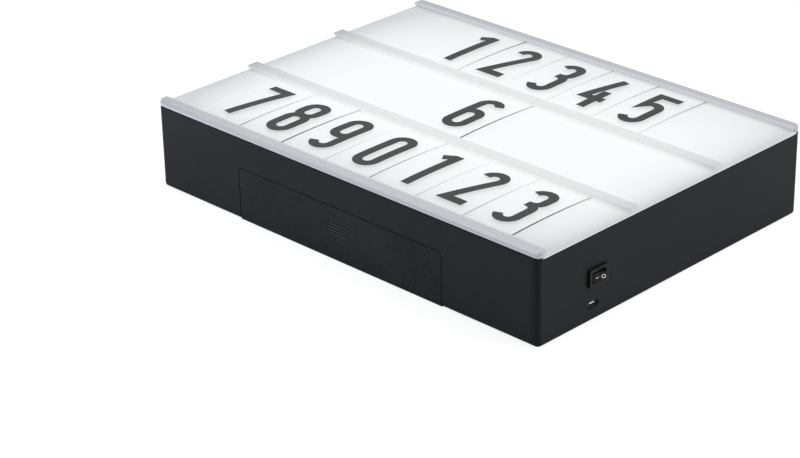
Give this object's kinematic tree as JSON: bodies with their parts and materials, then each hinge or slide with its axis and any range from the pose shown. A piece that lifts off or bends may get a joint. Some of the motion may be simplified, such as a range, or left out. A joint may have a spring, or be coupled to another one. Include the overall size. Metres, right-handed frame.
{
  "type": "marquee light box",
  "caption": "Battery light box with a lit white face, rails that hold clear letter tiles, a slide-off battery door and a rocker switch.",
  "frame": {"origin": "middle of the flat back face, which lies on the table", "axes": "+X along the long side towards the end with the switch, +Y from the battery door's side to the top row of tiles, +Z out of the lit face"},
  "size_m": [0.3036, 0.222, 0.0558],
  "materials": {
    "housing_black": "fine moulded grain",
    "door_black": "fine moulded grain",
    "panel_white": "translucent milky sheet lit from behind",
    "rail_white": "satin translucent white",
    "tile_clear": "clear plastic card with dark characters",
    "holder_black": "plain moulded",
    "cell_jacket": "shrink sleeve over a metal can",
    "contact_metal": "plated",
    "spring_steel": "plated wire",
    "switch_black": "satin",
    "rocker_black": "satin with light printed marks",
    "terminal_brass": "plated",
    "board_green": "solder mask on glass-fibre board",
    "socket_steel": "plated sheet",
    "tongue_black": "plain moulded",
    "reflector_white": "matte white sheet",
    "strip_white": "white board with square emitters",
    "wire_red": "insulation",
    "wire_black": "insulation",
    "wire_white": "insulation",
    "screw_steel": "plated"
  },
  "bodies": {
    "root": {"housing": "housing_black", "face_panel": "panel_white", "rail_bottom": "rail_white", "rail_lower": "rail_white", "rail_upper": "rail_white", "rail_top": "rail_white", "tile_bottom_1": "tile_clear", "tile_bottom_2": "tile_clear", "tile_bottom_3": "tile_clear", "tile_bottom_4": "tile_clear", "tile_bottom_5": "tile_clear", "tile_bottom_6": "tile_clear", "tile_bottom_7": "tile_clear", "tile_middle_1": "tile_clear", "tile_top_1": "tile_clear", "tile_top_2": "tile_clear", "tile_top_3": "tile_clear", "tile_top_4": "tile_clear", "tile_top_5": "tile_clear", "battery_holder": "holder_black", "battery_1": "cell_jacket", "battery_2": "cell_jacket", "battery_3": "cell_jacket", "battery_4": "cell_jacket", "battery_5": "cell_jacket", "battery_6": "cell_jacket", "contact_bridge": "contact_metal", "contact_negative": "contact_metal", "contact_positive": "contact_metal", "spring_negative": "spring_steel", "spring_bridge": "spring_steel", "switch_body": "switch_black", "switch_terminal_1": "terminal_brass", "switch_terminal_2": "terminal_brass", "usb_board": "board_green", "usb_socket": "socket_steel", "usb_tongue": "tongue_black", "reflector": "reflector_white", "led_strip_1": "strip_white", "led_strip_2": "strip_white", "led_strip_3": "strip_white", "wire_battery_positive": "wire_red", "wire_inlet_power": "wire_red", "wire_switch_to_strip": "wire_white", "wire_battery_negative": "wire_black", "wire_inlet_ground": "wire_black", "strip_lead_1": "wire_white", "strip_lead_2": "wire_white", "screw_reflector_1": "screw_steel", "screw_reflector_2": "screw_steel", "screw_reflector_3": "screw_steel", "screw_reflector_4": "screw_steel", "screw_holder_1": "screw_steel", "screw_holder_2": "screw_steel", "screw_board_1": "screw_steel", "screw_board_2": "screw_steel"},
    "door": {"battery_door": "door_black"},
    "rocker": {"switch_rocker": "rocker_black"}
  },
  "joints": [
    {"name": "door_slide", "type": "slide", "parent": "root", "child": "door", "axis": [0, 0, -1], "range_m": [0, 0.036]},
    {"name": "rocker_tilt", "type": "hinge", "parent": "root", "child": "rocker", "pos_m": [0.1495, -0.0648, 0.0263], "axis": [0, 0, 1], "range_deg": [0, 26]}
  ]
}
